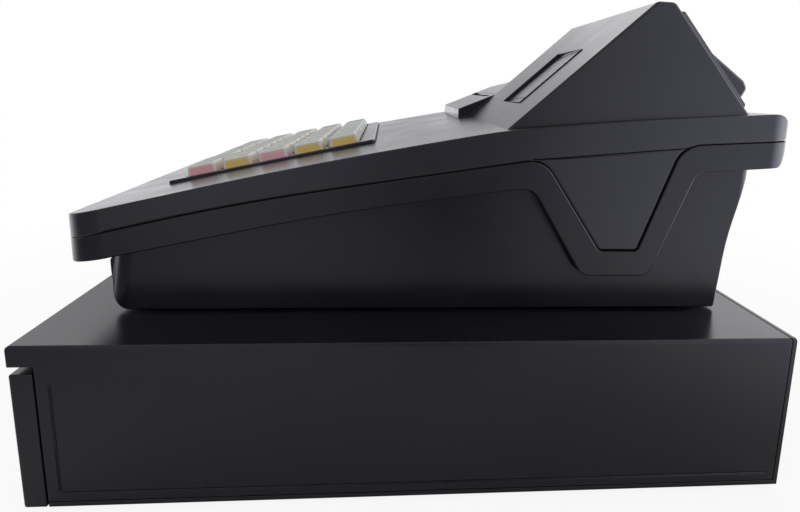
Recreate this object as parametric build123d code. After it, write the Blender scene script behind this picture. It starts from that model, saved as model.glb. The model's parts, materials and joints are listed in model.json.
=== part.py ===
from build123d import *
from math import atan2, cos, degrees, hypot, radians, sin, tan
import os

os.makedirs("parts", exist_ok=True)

# A counter-top ticket register: a moulded register with a sloping keyboard deck stands on a
# folded-steel cash drawer. Millimetres, +Z up. +X is the operator's right, -Y the operator's side.
# The origin is at the middle of the whole outline, on the plane that the rubber feet rest on.

# ---------------------------------------------------------------- driving dimensions
cabinet_width = 350.0      # drawer cabinet, side to side
cabinet_depth = 370.0      # drawer cabinet, front to back
cabinet_height = 80.0      # drawer cabinet without its feet
foot_height = 3.0          # rubber foot below the cabinet
foot_diameter = 16.0
foot_inset = 30.0          # foot centre from the cabinet's sides
foot_stud = 2.1            # push-in stud of a foot
rear_overhang = 9.3        # register's rear nose beyond the cabinet's back
lock_proud = 1.1           # lock face beyond the drawer front
sheet = 1.2                # steel sheet of cabinet and drawer
sheet_bend = 2.0           # outside bend radius of the cabinet's top edges
lip_height = 10.0          # front lip of the cabinet's top
lip_gap = 3.4              # finger gap between lip and drawer front
base_rim = 2.4             # visible edge of the base pan under the cover
back_rim = 2.3             # visible edge of the back panel behind the cover
front_thickness = 10.5     # drawer front panel
front_gap = 0.8            # gap between drawer front and cabinet sides
seam = 0.3                 # gap of a visible joint between two covers
running = 0.05             # radial clearance of a pin or barrel in its hole
drawer_travel = 250.0      # how far the drawer slides out

tray_side_gap = 14.0       # tray wall to the cabinet's inside: room for a runner
tray_height = 52.0
tray_rear_gap = 22.0       # tray's back to the back panel: room for the latch
runner_height = 14.0
runner_width = 11.0
runner_wall = 1.2
strip_reach = 4.0          # tray's runner strip into the runner
roller_diameter = 11.0
roller_width = 6.0
roller_pin_radius = 2.0

insert_wall = 2.0
insert_gap = 1.0           # cash insert to the tray's walls
insert_height = 46.0
bill_count = 4
bill_depth = 172.0         # note compartments, front to back
coin_rows = 2
coin_scoop = 30.0          # scooped front of a coin cup
coin_scoop_back = 12.0
clip_length = 118.0
clip_width = 22.0
clip_pin_radius = 2.0

case_half = 139.0          # register's overhanging band, from the middle
tub_half = 129.5           # lower case below the band
case_wall = 2.5
corner_radius = 20.0       # band's front corners, seen from above
nose_corner = 14.0         # band's rear corners, seen from above
tub_corner_radius = 11.0
pad_height = 1.0           # moulded pads between register and cabinet
apron_inset = 0.8          # side aprons lie this far inside the band

hump_near = 133.0          # hump's right flank
hump_far = -19.0           # hump's left flank, where the printer block starts
block_far = -133.0         # printer block's left flank
block_chamfer = 5.0        # bevel along the block's left roof edge

keyboard_near = 78.0       # keyboard plate's right edge
keyboard_far = -115.0      # keyboard plate's left edge
keyboard_front = 43.3      # keyboard plate's front edge, from the cabinet's front
keyboard_back = 160.6
plate_proud = 2.0          # keyboard plate above the deck
plate_thickness = 2.5
plate_ledge = 3.0          # ledge in the deck that carries the plate's edge
key_rows = 5
key_columns = 7
key_pitch_y = 21.0
key_gap = 2.6              # between key caps
key_hole_gap = 0.6         # cap to its hole in the plate
key_height = 7.4           # cap above the deck
key_travel = 3.0
key_taper = 8.0            # draft of a cap's sides in degrees
key_wall = 1.4
key_skirt = 3.0            # cap's skirt below the deck
key_corner = 1.0           # bevel at a cap's corners
mat_depth = 10.0           # silicone mat below the deck
dome_height = 0.8
dome_radius = 3.2
board_thickness = 1.6

window_far = 38.0          # operator window recess
window_near = 92.0
window_low = 18.5          # along the hump's slope, from its foot
window_high = 64.0
window_depth = 2.4         # recess depth at its far end
pane_thickness = 1.5
pane_rim = 5.0             # recess floor left around the pane's opening
pane_gap = 0.2             # pane to its opening, all round

cover_front = 247.0        # printer cover, from the cabinet's front
cover_rear = 326.0
cover_margin = 7.0         # printer cover to the block's flanks
cover_thickness = 2.4
hinge_pin_radius = 1.5
cover_swing = 100.0        # how far the printer cover opens, in degrees
slot_width = 4.6           # paper exit slot ahead of the printer cover
roll_width = 57.0
roll_diameter = 46.0
roll_core_radius = 6.0
platen_diameter = 10.0
platen_length = 60.0

rear_plate_proud = 3.0
rear_plate_margin = 3.5    # rear panel to the hump's flanks
rear_plate_low = 6.5       # rear panel's upper edge, from the ridge
rear_plate_high = 3.0      # rear panel's lower edge to the slope's foot
pod_near = 115.0           # customer display, right and left ends
pod_far = -1.0

# ---------------------------------------------------------------- derived places
register_depth = cabinet_depth + rear_overhang
drawn_depth = 379.3        # register depth that the depths below are written for
front = lock_proud - (register_depth + lock_proud) / 2    # cabinet's front plane
back = front + cabinet_depth                  # cabinet's back plane
top = foot_height + cabinet_height            # cabinet's top plane
half_width = cabinet_width / 2
side_front = front + front_thickness + front_gap
side_back = back - back_rim - seam
inner_half = half_width - sheet
tray_half = inner_half - tray_side_gap
tray_front = side_front
tray_back = back - back_rim - tray_rear_gap
tray_floor = foot_height + 7.0
runner_z = tray_floor + 22.0                  # runner's centre height
roller_y = tray_back - 18.0


def save(node, shape):
    export_step(shape, f"parts/{node}.step")


def placed(y):
    """Depth from the cabinet's front; what lies behind the keyboard keeps to the register's back."""
    return y if y < keyboard_back else y + register_depth - drawn_depth


def fitting_radii(corners):
    """Corner radii, with a fillet that its straight stretches couldn't hold limited by them."""
    count = len(corners)
    turns = []
    for i in range(count):
        (y0, z0, _), (y1, z1, _), (y2, z2, _) = corners[i - 1], corners[i], corners[(i + 1) % count]
        turn = atan2(z2 - z1, y2 - y1) - atan2(z1 - z0, y1 - y0)
        turns.append(abs(atan2(sin(turn), cos(turn))))
    reach = [r * tan(turn / 2) for (_, _, r), turn in zip(corners, turns)]
    share = [1.0] * count
    for i in range(count):
        j = (i + 1) % count
        side = hypot(corners[j][0] - corners[i][0], corners[j][1] - corners[i][1])
        held = side / max(reach[i] + reach[j], side)
        share[i] = min(share[i], held)
        share[j] = min(share[j], held)
    return [r if held == 1.0 else 0.99 * held * r for (_, _, r), held in zip(corners, share)]


def outline_face(corners):
    """Face in the YZ plane from (depth, height, corner radius), all from the cabinet's top front."""
    points = [(front + y, top + z) for y, z, _ in corners]
    line = FilletPolyline(*points, radius=fitting_radii(corners), close=True)
    return Plane.YZ * make_face(line)


def side_view(corners):
    """Closed side outline, with the depths behind the keyboard set to the register's back."""
    return outline_face([(placed(y), z, r) for y, z, r in corners])


def slab(face, low, high):
    return extrude(Pos(low, 0, 0) * face, high - low, dir=(1, 0, 0))


def block(x0, x1, y0, y1, z0, z1):
    return Pos((x0 + x1) / 2, (y0 + y1) / 2, (z0 + z1) / 2) * Box(x1 - x0, y1 - y0, z1 - z0)


def rod(radius, start, axis, length):
    """Solid rod from a start point along an axis."""
    return Plane(origin=start, z_dir=axis) * Cylinder(
        radius, length, align=(Align.CENTER, Align.CENTER, Align.MIN))


def tube(outer, inner, start, axis, length):
    return rod(outer, start, axis, length) - rod(inner, start, axis, length)


def depth(y):
    """Y of a depth measured from the cabinet's front."""
    return front + placed(y)


def height(z):
    """Z of a height measured from the cabinet's top."""
    return top + z


# ---------------------------------------------------------------- register outlines
# (depth from the cabinet's front, height over the cabinet's top, corner radius)
band_front = 10.6
nose_back = drawn_depth
deck_foot = (228.3, 97.0)                     # where the hump's slope leaves the deck
deck_bend = (122.0, 77.1)
deck_front_z = 50.2
ledge_bend = (296.5, 103.3)
nose_top_z = 108.3
ridge_front = (300.5, 161.1)
ridge_back = (309.7, 160.9)
hump_foot_back = (354.6, 107.2)

rib_lower = [                                 # underside of the band, front to back
    (band_front, 25.9, 3.0), (150.0, 56.3, 1500.0), (241.5, 68.0, 10.0),
    (269.8, 21.7, 8.0), (306.0, 21.7, 6.0), (327.2, 77.0, 8.0),
    (nose_back - 6.5, 80.1, 4.0)]
nose = [(nose_back, 93.9, 6.0), (nose_back - 1.5, nose_top_z, 12.5)]
deck_line = [(ledge_bend[0], ledge_bend[1], 1500.0), (deck_foot[0], deck_foot[1], 400.0),
             (deck_bend[0], deck_bend[1], 2500.0), (band_front, deck_front_z, 3.5)]
parting = [                                   # joint between lower and upper case
    (85.0, 57.0, 1200.0), (246.3, 82.6, 14.0), (278.3, 35.0, 3.5),
    (298.9, 35.0, 3.5), (318.6, 90.5, 14.0)]
parting_ends = [(-40.0, 25.2, 0.0), (420.0, 96.3, 0.0)]

band_outline = rib_lower + nose + deck_line
tub_outline = [
    (31.4, pad_height, 9.0), (349.4, pad_height, 1.5), (352.6, 40.0, 150.0), (361.5, 79.0, 0.0),
    (361.5, 95.0, 0.0), (240.0, 92.0, 0.0), (29.5, 47.0, 0.0)]


def inset(corners, gap):
    """Side outline moved inwards by a wall: each side shifts, and each corner is met again."""
    corners = [(placed(y), z, r) for y, z, r in corners]
    count = len(corners)
    area = sum(corners[i - 1][0] * corners[i][1] - corners[i][0] * corners[i - 1][1]
               for i in range(count))
    turn = 1 if area > 0 else -1
    moved = []
    for i in range(count):
        y0, z0, _ = corners[i - 1]
        y1, z1, radius = corners[i]
        y2, z2, _ = corners[(i + 1) % count]
        before = hypot(y1 - y0, z1 - z0)
        after = hypot(y2 - y1, z2 - z1)
        ay, az = (y1 - y0) / before, (z1 - z0) / before
        by, bz = (y2 - y1) / after, (z2 - z1) / after
        cross = ay * bz - az * by
        reach = gap * turn * tan(atan2(cross, ay * by + az * bz) / 2)
        y = y1 - gap * turn * az - reach * ay
        z = z1 + gap * turn * ay - reach * az
        convex = cross * turn > 0
        moved.append((y, z, max(radius - gap, 0.0) if convex else radius + gap))
    return outline_face(moved)


below_parting = side_view(
    [(-40.0, -60.0, 0.0), (420.0, -60.0, 0.0), parting_ends[1]] + parting[::-1] + [parting_ends[0]])


def deck_z(y):
    """Height of the deck's two straight stretches over the cabinet's top."""
    if y < deck_bend[0]:
        a, b = (band_front, deck_front_z), deck_bend
    else:
        a, b = deck_bend, deck_foot
    return a[1] + (placed(y) - placed(a[0])) * (b[1] - a[1]) / (placed(b[0]) - placed(a[0]))


slope_angle = degrees(atan2(ridge_front[1] - deck_foot[1], ridge_front[0] - deck_foot[0]))
rear_angle = degrees(atan2(ridge_back[1] - hump_foot_back[1], hump_foot_back[0] - ridge_back[0]))


def on_slope(x, along, out):
    """Location on the hump's operator slope: along the slope from its foot, out from its face."""
    a = radians(slope_angle)
    y = depth(deck_foot[0]) + along * cos(a) - out * sin(a)
    z = height(deck_foot[1]) + along * sin(a) + out * cos(a)
    return Location((x, y, z), (slope_angle, 0, 0))


def on_rear(x, along, out):
    """Location on the hump's rear slope: along the slope down from the ridge, out from its face."""
    a = radians(rear_angle)
    y = depth(ridge_back[0]) + along * cos(a) + out * sin(a)
    z = height(ridge_back[1]) - along * sin(a) + out * cos(a)
    return Location((x, y, z), (-rear_angle, 0, 0))


window_width = window_near - window_far
window_length = window_high - window_low
window_tilt = degrees(atan2(window_depth, window_width))
window_middle = on_slope((window_near + window_far) / 2, (window_low + window_high) / 2, 0)

keyboard_angle = degrees(atan2(deck_z(keyboard_back) - deck_z(keyboard_front),
                               keyboard_back - keyboard_front))
keyboard_middle_y = (keyboard_front + keyboard_back) / 2
keyboard_middle_z = (deck_z(keyboard_back) + deck_z(keyboard_front)) / 2
keyboard_origin = Location(((keyboard_near + keyboard_far) / 2, depth(keyboard_middle_y),
                            height(keyboard_middle_z)), (keyboard_angle, 0, 0))
plate_width = keyboard_near - keyboard_far
plate_length = (keyboard_back - keyboard_front) / cos(radians(keyboard_angle))
key_pitch_x = (plate_width - 8.0) / key_columns

# ---------------------------------------------------------------- cash drawer cabinet
rear_flange = 13.0
screw_hole = 1.6
screw_radius = 1.35
screw_head_radius = 2.9
screw_head_height = 1.6
back_screw_x = inner_half - 7.0
back_screw_heights = (foot_height + 22.0, foot_height + 60.0)


def cabinet_cover():
    """Top and sides folded from one sheet, with a front lip over the drawer."""
    lip_bottom = top - lip_height
    bottom = foot_height + base_rim + seam
    outline = [(front, lip_bottom), (side_front, lip_bottom), (side_front, bottom),
               (side_back, bottom), (side_back, top), (front, top)]
    outer = slab(Plane.YZ * make_face(Polyline(*outline, close=True)), -half_width, half_width)
    long_edges = outer.edges().filter_by(Axis.Y).group_by(Axis.Z)[-1]
    front_edge = outer.edges().filter_by(Axis.X).group_by(Axis.Z)[-1].sort_by(Axis.Y)[0]
    outer = fillet(long_edges + [front_edge], sheet_bend)
    inner = block(-inner_half, inner_half, front + sheet, side_back + 1, bottom - 1, top - sheet)
    shell = outer - inner
    # a shallow pressed line frames each side's flat field
    line_depth = 0.4
    line_width = 0.9
    field_front = side_front + 5.5
    field_low = bottom + 4.0
    for s in (-1, 1):
        x0, x1 = sorted((s * (half_width - line_depth), s * (half_width + 1)))
        shell -= block(x0, x1, field_front, field_front + line_width, field_low, top - 18)
        shell -= block(x0, x1, field_front, side_back - 4, field_low, field_low + line_width)
        # in-turned rear flange for the back screws
        x0, x1 = sorted((s * (inner_half - rear_flange), s * inner_half))
        shell += block(x0, x1, side_back - sheet, side_back, bottom + 8, top - 8)
        for z in back_screw_heights:
            shell -= rod(screw_hole, (s * back_screw_x, side_back - 4, z), (0, 1, 0), 8)
    # cable hole to the register above
    shell -= rod(9, (0, depth(300), top - 3), (0, 0, 1), 6)
    save("cabinet_cover", shell)
    return shell


def cabinet_base():
    """Base pan and back folded from one sheet, with inner flanges behind the cover's sides."""
    z0 = foot_height
    pan = block(-half_width, half_width, side_front, back, z0, z0 + base_rim)
    pan -= block(-inner_half + 4, inner_half - 4, side_front + 6, back - back_rim - 1,
                 z0 + sheet, z0 + base_rim + 1)
    flange = 10.0
    for s in (-1, 1):
        x0, x1 = sorted((s * inner_half, s * (inner_half - sheet)))
        pan += block(x0, x1, side_front + 6, side_back - 4, z0 + base_rim, z0 + base_rim + flange)
    wall = block(-half_width, half_width, back - back_rim, back, z0 + base_rim, top)
    wall -= block(-half_width + 5, half_width - 5, back - back_rim + sheet, back + 1,
                  z0 + base_rim + 5, top - 5)
    wall = fillet(wall.edges().filter_by(Axis.Y).group_by(Axis.Z)[-1], sheet_bend)
    pan += wall
    pan += block(-inner_half, inner_half, back - back_rim - 8, back - back_rim,
                 top - 2 * sheet, top - sheet)
    for x in (-half_width + foot_inset, half_width - foot_inset):
        for y in (front + foot_inset + 10, back - foot_inset):
            pan -= rod(foot_stud + running, (x, y, z0 - 1), (0, 0, 1), base_rim + 2)
    for s in (-1, 1):
        for z in back_screw_heights:
            pan -= rod(screw_hole, (s * back_screw_x, back - 6, z), (0, 1, 0), 8)
    save("cabinet_base", pan)
    return pan


def cabinet_feet():
    solids = []
    for x in (-half_width + foot_inset, half_width - foot_inset):
        for y in (front + foot_inset + 10, back - foot_inset):
            pad = rod(foot_diameter / 2, (x, y, 0), (0, 0, 1), foot_height)
            pad = chamfer(pad.edges().group_by(Axis.Z)[0], 0.8)
            pad += rod(foot_stud, (x, y, foot_height), (0, 0, 1), sheet)
            pad += rod(3.4, (x, y, foot_height + sheet), (0, 0, 1), 1.4)
            solids.append(pad)
    save("cabinet_feet", Compound(children=solids))


def drawer_runners():
    """A C channel on each side wall, open towards the tray, with a stop at each end."""
    solids = []
    for s in (-1, 1):
        x_out = inner_half
        x_in = inner_half - runner_width
        z0 = runner_z - runner_height / 2
        z1 = runner_z + runner_height / 2
        x0, x1 = sorted((s * x_out, s * x_in))
        rail = block(x0, x1, side_front + 4, tray_back + 4, z0, z1)
        c0, c1 = sorted((s * (x_out - runner_wall), s * (x_in - 1)))
        rail -= block(c0, c1, side_front, tray_back + 8, z0 + runner_wall, z1 - runner_wall)
        stop = block(c0 + (0 if s > 0 else 2), c1 - (2 if s > 0 else 0), tray_back + 2,
                     tray_back + 4, z0 + runner_wall, z1 - runner_wall)
        # the roller meets this tab with the drawer fully out; the tray's strip passes beside it
        tab_y = roller_y - drawer_travel - roller_diameter / 2 - seam
        t0, t1 = sorted((s * (x_in + strip_reach + 0.6), s * (x_out - runner_wall)))
        tab = block(t0, t1, tab_y - 2, tab_y, z0 + runner_wall, z1 - runner_wall)
        solids.append(rail + stop + tab)
    save("drawer_runners", Compound(children=solids))


# ---------------------------------------------------------------- drawer
lock_radius = 9.0
lock_z = tray_floor + 30.0


def drawer_tray():
    """Open steel tray with a rolled rim, a runner strip and a roller pin on each side."""
    z0 = tray_floor
    z1 = tray_floor + tray_height
    tray = block(-tray_half, tray_half, tray_front, tray_back, z0, z1)
    tray -= block(-tray_half + sheet, tray_half - sheet, tray_front + sheet, tray_back - sheet,
                  z0 + sheet, z1 + 1)
    strip_height = 6.0
    for s in (-1, 1):
        x0, x1 = sorted((s * tray_half, s * (tray_half + tray_side_gap - runner_width + strip_reach)))
        tray += block(x0, x1, tray_front + 6, roller_y - roller_diameter,
                      runner_z - strip_height / 2, runner_z + strip_height / 2)
        tray += rod(roller_pin_radius, (s * tray_half, roller_y, runner_z), (s, 0, 0),
                    tray_side_gap - runner_wall - 1.0)
    # striker for the latch, with a slot for the hook
    striker = block(-7, 7, tray_back, tray_back + 7, z0 + 12, z0 + 14)
    striker -= block(-4.5, 4.5, tray_back + 1.5, tray_back + 5.2, z0 + 11, z0 + 15)
    tray += striker
    # hole for the lock's tail
    tray -= rod(lock_radius + running, (0, tray_front - 1, lock_z), (0, 1, 0), 4)
    save("drawer_tray", tray)
    return tray


def tray_roller(side, name):
    x0 = side * (tray_half + tray_side_gap - runner_wall - 1.5 - roller_width)
    wheel = rod(roller_diameter / 2, (x0, roller_y, runner_z), (side, 0, 0), roller_width)
    wheel = chamfer(wheel.edges().filter_by(GeomType.CIRCLE), 0.7)
    wheel -= rod(roller_pin_radius + running, (x0 - side, roller_y, runner_z), (side, 0, 0),
                 roller_width + 2)
    save(name, wheel)


panel_top = top - lip_height - lip_gap


def drawer_front():
    """Front panel folded as a shallow pan around the tray's front wall."""
    y1 = front + front_thickness
    panel = block(-half_width, half_width, front, y1, foot_height, panel_top)
    panel = fillet(panel.edges().group_by(Axis.Y)[0], 1.6)
    panel -= block(-half_width + sheet, half_width - sheet, front + sheet, y1 + 1,
                   foot_height + sheet, panel_top - sheet)
    # inner stiffener carries the panel on the tray
    panel += block(-tray_half, tray_half, y1 - sheet, side_front, tray_floor, panel_top - sheet)
    panel += block(-half_width + sheet, half_width - sheet, y1 - sheet, y1,
                   foot_height + sheet, panel_top - sheet)
    panel -= rod(lock_radius + running, (0, front - 1, lock_z), (0, 1, 0), front_thickness + 4)
    save("drawer_front", panel)


def drawer_lock():
    """Lock barrel with a flanged face, a keyway and a tail cam."""
    face = front - lock_proud
    tail = side_front + sheet + 0.4
    barrel = rod(lock_radius, (0, face, lock_z), (0, 1, 0), tail - face)
    barrel += rod(lock_radius + 2, (0, face, lock_z), (0, 1, 0), lock_proud - 0.1)
    barrel -= block(-0.9, 0.9, face - 1, face + 7, lock_z - 4, lock_z + 4)
    barrel -= rod(2.4, (0, face - 1, lock_z), (0, 1, 0), 8)
    barrel += block(-3.5, 3.5, tail, tail + 2, lock_z - 8, lock_z + 14)
    save("drawer_lock", barrel)


insert_half = tray_half - sheet - insert_gap
insert_front = tray_front + sheet + insert_gap + 8.0
insert_back = tray_back - sheet - insert_gap
insert_floor = tray_floor + sheet
insert_top = insert_floor + insert_height
bill_back = insert_back - insert_wall
bill_front = bill_back - bill_depth
bill_pitch = (2 * insert_half - insert_wall) / bill_count
coin_front = insert_front + insert_wall
coin_pitch = (bill_front - coin_front) / coin_rows        # one coin cup and its wall
clip_pivot_y = bill_back - 9.0
clip_pivot_z = insert_floor + 30.0


def bill_middle(i):
    return -insert_half + insert_wall + (i + 0.5) * bill_pitch - insert_wall / 2


def cash_insert():
    """Moulded insert: flat note compartments behind, scooped coin cups in front."""
    body = block(-insert_half, insert_half, insert_front, insert_back, insert_floor, insert_top)
    body = fillet(body.edges().filter_by(Axis.Z), 6)
    for i in range(bill_count):
        x = bill_middle(i)
        w = (bill_pitch - insert_wall) / 2
        body -= block(x - w, x + w, bill_front, bill_back, insert_floor + insert_wall, insert_top + 1)
    floor = insert_floor + insert_wall
    for i in range(bill_count):
        x = bill_middle(i)
        w = (bill_pitch - insert_wall) / 2
        for row in range(coin_rows):
            y0 = coin_front + row * coin_pitch
            y1 = y0 + coin_pitch - insert_wall
            line = FilletPolyline((y0, floor), (y1, floor), (y1, insert_top + 1),
                                  (y0, insert_top + 1), radius=[coin_scoop, coin_scoop_back, 0, 0],
                                  close=True)
            body -= slab(Plane.YZ * make_face(line), x - w, x + w)
    for i in range(bill_count):
        for s in (-1, 1):
            x = bill_middle(i) + s * (clip_width / 2 + 1.6)
            ear = block(x - 1.2, x + 1.2, clip_pivot_y - 4, bill_back, insert_floor + insert_wall,
                        clip_pivot_z + 4)
            ear -= rod(clip_pin_radius + running, (x - 2, clip_pivot_y, clip_pivot_z),
                       (1, 0, 0), 4)
            body += ear
    save("cash_insert", body)
    return body


def bill_clips():
    """Sprung arms that press the notes down, each on a pin at the back of its compartment."""
    floor = insert_floor + insert_wall
    for i in range(bill_count):
        x = bill_middle(i)
        tip_y = clip_pivot_y - clip_length
        w = clip_width / 2
        arm_line = FilletPolyline(
            (clip_pivot_y + 3.5, clip_pivot_z + 3.0), (clip_pivot_y - 4, clip_pivot_z + 3.0),
            (tip_y + 18, floor + 4.0), (tip_y, floor + 3.0), (tip_y, floor + 0.8),
            (tip_y + 18, floor + 0.8), (clip_pivot_y - 4, clip_pivot_z - 3.0),
            (clip_pivot_y + 3.5, clip_pivot_z - 3.0),
            radius=[2.5, 12, 12, 0.9, 0.9, 12, 12, 2.5], close=True)
        arm = slab(Plane.YZ * make_face(arm_line), x - w, x + w)
        slot_y = clip_pivot_y - clip_length * 0.5
        arm -= Pos(x, slot_y, clip_pivot_z - 8) * extrude(
            SlotOverall(clip_length * 0.5, clip_width * 0.36, rotation=90), 40, both=True)
        arm += rod(clip_pin_radius, (x - w - 2.6, clip_pivot_y, clip_pivot_z), (1, 0, 0),
                   clip_width + 5.2)
        save(f"bill_clip_{i + 1}", arm)


latch_y = tray_back + 16.0                    # latch pivot, behind the striker
latch_z = tray_floor + 17.5
latch_pin = 1.5
latch_half = 3.0


def latch_hook():
    """Hook lever that drops its tooth into the striker's slot."""
    hook = rod(4.0, (-latch_half, latch_y, latch_z), (1, 0, 0), 2 * latch_half)
    hook += block(-latch_half, latch_half, tray_back + 2.0, latch_y, latch_z - 1, latch_z + 1.5)
    hook += block(-latch_half, latch_half, tray_back + 2.0, tray_back + 4.2,
                  tray_floor + 14.5, latch_z + 1)
    hook -= rod(latch_pin + running, (-latch_half - 1, latch_y, latch_z), (1, 0, 0),
                2 * latch_half + 2)
    save("latch_hook", hook)


def latch_solenoid():
    """Coil in its steel frame on the base pan; the frame's cheek carries the hook's pin."""
    x0 = latch_half + 2.0
    x1 = x0 + 28.0
    y0 = latch_y - 8.0
    y1 = latch_y + 4.5
    z0 = foot_height + sheet
    z1 = latch_z + 5.0
    frame = block(x0, x1, y0, y1, z0, z1) - block(x0 + 2, x1 - 2, y0 - 1, y1 - 2, z0 + 2, z1 + 1)
    frame += rod(5.0, (x0 + 2, latch_y - 2.0, z0 + 9), (1, 0, 0), x1 - x0 - 4)
    frame += rod(latch_pin, (-latch_half - 1.5, latch_y, latch_z), (1, 0, 0), x0 + latch_half + 2.5)
    save("latch_solenoid", frame)


# ---------------------------------------------------------------- register housing
def case_block(corners, half, plan_front, plan_back):
    """Side outline carried across the register, with its upright corners rounded in plan."""
    solid = slab(side_view(corners), -half, half)
    y0 = depth(min(c[0] for c in corners))
    y1 = depth(max(c[0] for c in corners))
    plan = Pos(0, (y0 + y1) / 2) * Rectangle(2 * half, y1 - y0)
    front_corners = plan.vertices().group_by(Axis.Y)[0]
    plan = fillet(front_corners, plan_front)
    plan = fillet(plan.vertices().group_by(Axis.Y)[-1], plan_back)
    return solid & extrude(Pos(0, 0, top - 20) * plan, 220)


boss_x = 119.5             # screw bosses between the two case halves
boss_depths = (80.0, 205.0)
boss_radius = 4.5
boss_joint = height(28.0)  # where lower and upper bosses meet
screw_recess = 1.0         # screw head's recess in the tub's floor
post_half = 3.5            # square posts under the board and the paper bucket

board_middle_x = 20.0      # main circuit board
board_half_x = 80.0
board_front = 120.0
board_back = 240.0
board_low = height(14.0)

roll_middle = (block_far + hump_far) / 2      # paper path, left to right
roll_depth = 296.0         # paper roll's axis from the cabinet's front
roll_axis_z = 84.0
roll_clear = 3.0           # bucket's trough around a full roll
bucket_wall = 2.0
bucket_half = roll_width / 2 + 1.5 + bucket_wall
bucket_front = 262.0
bucket_back = 330.0
bucket_low = roll_axis_z - roll_diameter / 2 - roll_clear - bucket_wall

inlet_x = -90.0            # power inlet and switch in the tub's back
inlet_half = 7.0
inlet_half_z = 5.5
switch_x = -60.0
switch_half = 11.0
switch_half_z = 8.5
socket_z = height(22.0)
socket_face = depth(349.6)
hook_x = 66.0              # rear tabs that hold the case halves together


def lower_case():
    """Tub with a flared band round its rim; the band steps down around each side apron."""
    tub = case_block(tub_outline, tub_half, tub_corner_radius, 5.0)
    band = case_block(band_outline, case_half, corner_radius, nose_corner)
    keep = slab(below_parting, -case_half - 5, case_half + 5)
    shell = (tub + band) & keep
    tub_room = slab(inset(tub_outline, case_wall), -tub_half + case_wall, tub_half - case_wall)
    band_room = slab(inset(band_outline, case_wall), -case_half + case_wall + 1,
                     case_half - case_wall - 1)
    tub_room &= case_block([(34, 0, 0), (360, 0, 0), (360, 120, 0), (34, 120, 0)],
                           tub_half - case_wall, tub_corner_radius - case_wall, 4.0)
    band_room &= case_block([(band_front + case_wall, 0, 0), (nose_back - case_wall, 0, 0),
                             (nose_back - case_wall, 120, 0), (band_front + case_wall, 120, 0)],
                            case_half - case_wall - 1, corner_radius - case_wall,
                            nose_corner - case_wall)
    shell -= tub_room
    shell -= band_room
    # stand-off pads under the tub
    for x in (-tub_half + 22, tub_half - 22):
        for y in (depth(58), depth(330)):
            shell += rod(7, (x, y, top), (0, 0, 1), pad_height + 0.5)
    floor = height(pad_height + 1)
    for x in (-boss_x, boss_x):
        for y in boss_depths:
            shell += rod(boss_radius, (x, depth(y), floor), (0, 0, 1), boss_joint - floor)
            shell -= rod(screw_hole, (x, depth(y), top), (0, 0, 1), boss_joint + 1 - top)
            shell -= rod(screw_head_radius + 0.3, (x, depth(y), top), (0, 0, 1),
                         pad_height + screw_recess)
    for x in (board_middle_x - board_half_x + 8, board_middle_x + board_half_x - 8):
        for y in (depth(board_front + 8), depth(board_back - 8)):
            shell += block(x - post_half, x + post_half, y - post_half, y + post_half, floor, board_low)
    for x in (roll_middle - bucket_half + 4, roll_middle + bucket_half - 4):
        for y in (depth(bucket_front + 4), depth(bucket_back - 4)):
            shell += block(x - post_half, x + post_half, y - post_half, y + post_half, floor,
                           height(bucket_low))
    # openings for the power inlet and the switch at the back
    shell -= block(inlet_x - inlet_half, inlet_x + inlet_half, depth(342), depth(365),
                   socket_z - inlet_half_z, socket_z + inlet_half_z)
    shell -= block(switch_x - switch_half, switch_x + switch_half, depth(342), depth(365),
                   socket_z - switch_half_z, socket_z + switch_half_z)
    save("lower_case", shell)
    return shell


def hump_outline():
    return [(deck_foot[0] - 8, deck_foot[1] - 14, 0.0), (deck_foot[0], deck_foot[1], 0.0),
            (ridge_front[0], ridge_front[1], 4.0), (ridge_back[0], ridge_back[1], 4.0),
            (hump_foot_back[0], hump_foot_back[1], 0.0), (hump_foot_back[0] - 6, 88.0, 0.0)]


# printer block's roof, front to back: depth and height
block_roof_line = [(219.5, 101.9), (260.0, 118.6), (283.0, 125.0), (332.0, 126.0)]


def block_roof(y):
    """Height of the printer block's roof over the cabinet's top."""
    for (y0, z0), (y1, z1) in zip(block_roof_line, block_roof_line[1:]):
        if y <= y1:
            break
    return z0 + (y - y0) * (z1 - z0) / (y1 - y0)


def block_outline():
    roof = [(y, z, 0.0) for y, z in block_roof_line]
    return [(roof[0][0], 84.0, 0.0)] + roof + [
        (hump_foot_back[0] - 2, 107.0, 0.0), (hump_foot_back[0] - 8, 88.0, 0.0)]


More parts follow.
